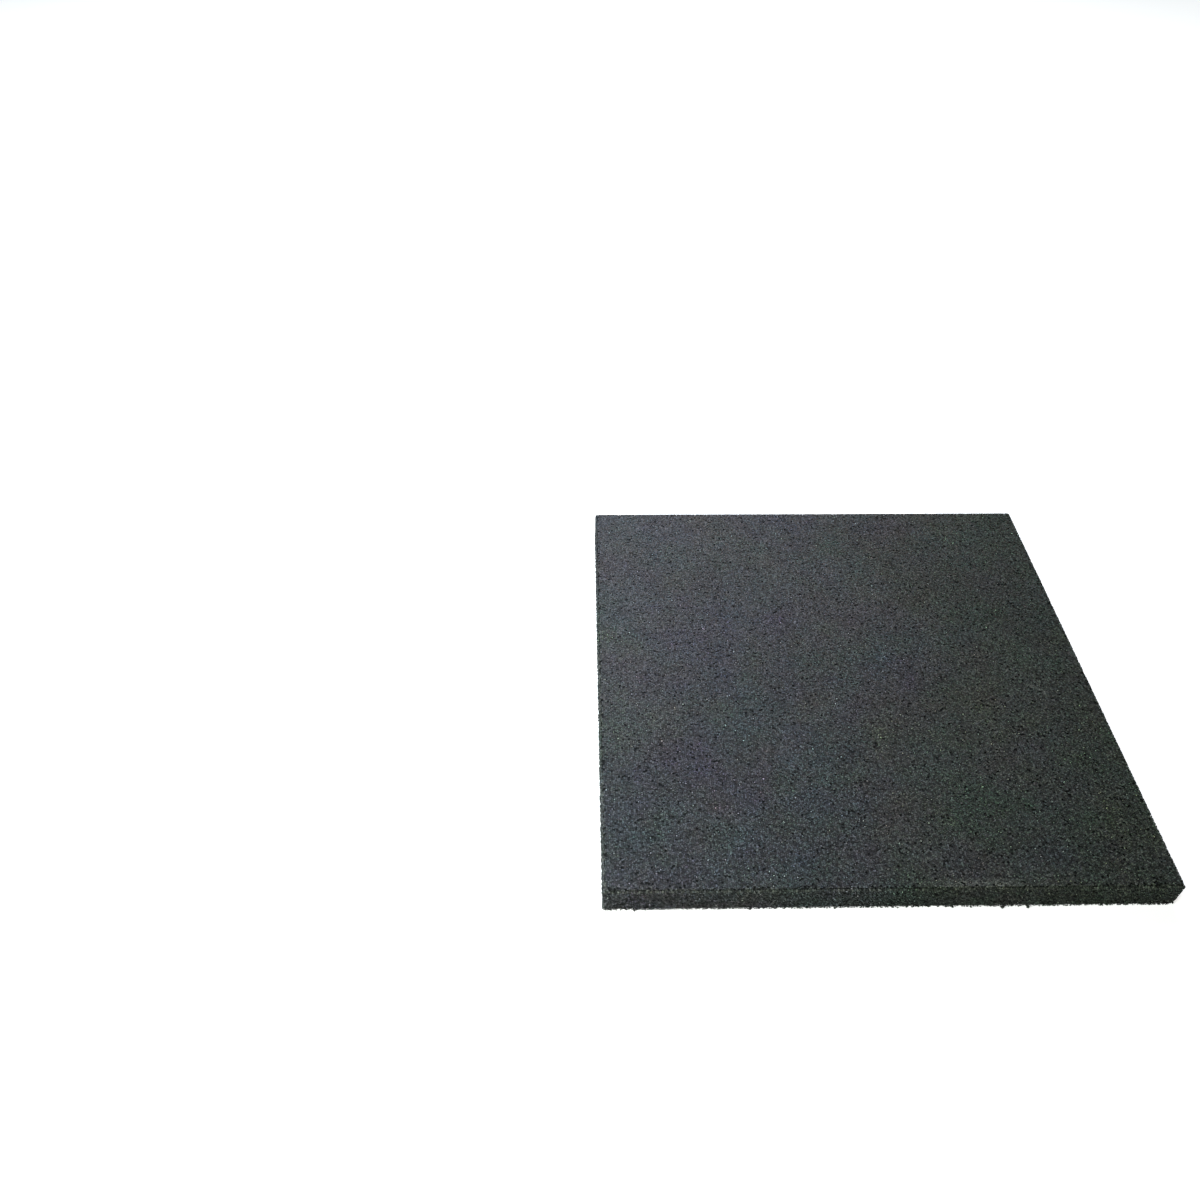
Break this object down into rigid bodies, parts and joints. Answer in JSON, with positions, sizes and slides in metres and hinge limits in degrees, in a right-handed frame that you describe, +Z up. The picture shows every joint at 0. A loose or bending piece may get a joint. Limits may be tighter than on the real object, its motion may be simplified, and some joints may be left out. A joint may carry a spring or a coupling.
{
  "type": "rubber safety tile",
  "caption": "Square slab of bonded black rubber crumb with a fine chamfer around its walking face, laid on a floor as impact-absorbing paving.",
  "frame": {"origin": "centre of the flat underside, on the floor", "axes": "+Z up, out of the walking face; +X and +Y along the two pairs of edges, with -Y the edge nearest the viewer in the picture"},
  "size_m": [0.5, 0.5, 0.03],
  "materials": {
    "rubber_crumb": "matt pressed crumb, fine grained, with scattered lighter specks"
  },
  "bodies": {
    "root": {"rubber_tile": "rubber_crumb"}
  },
  "joints": []
}
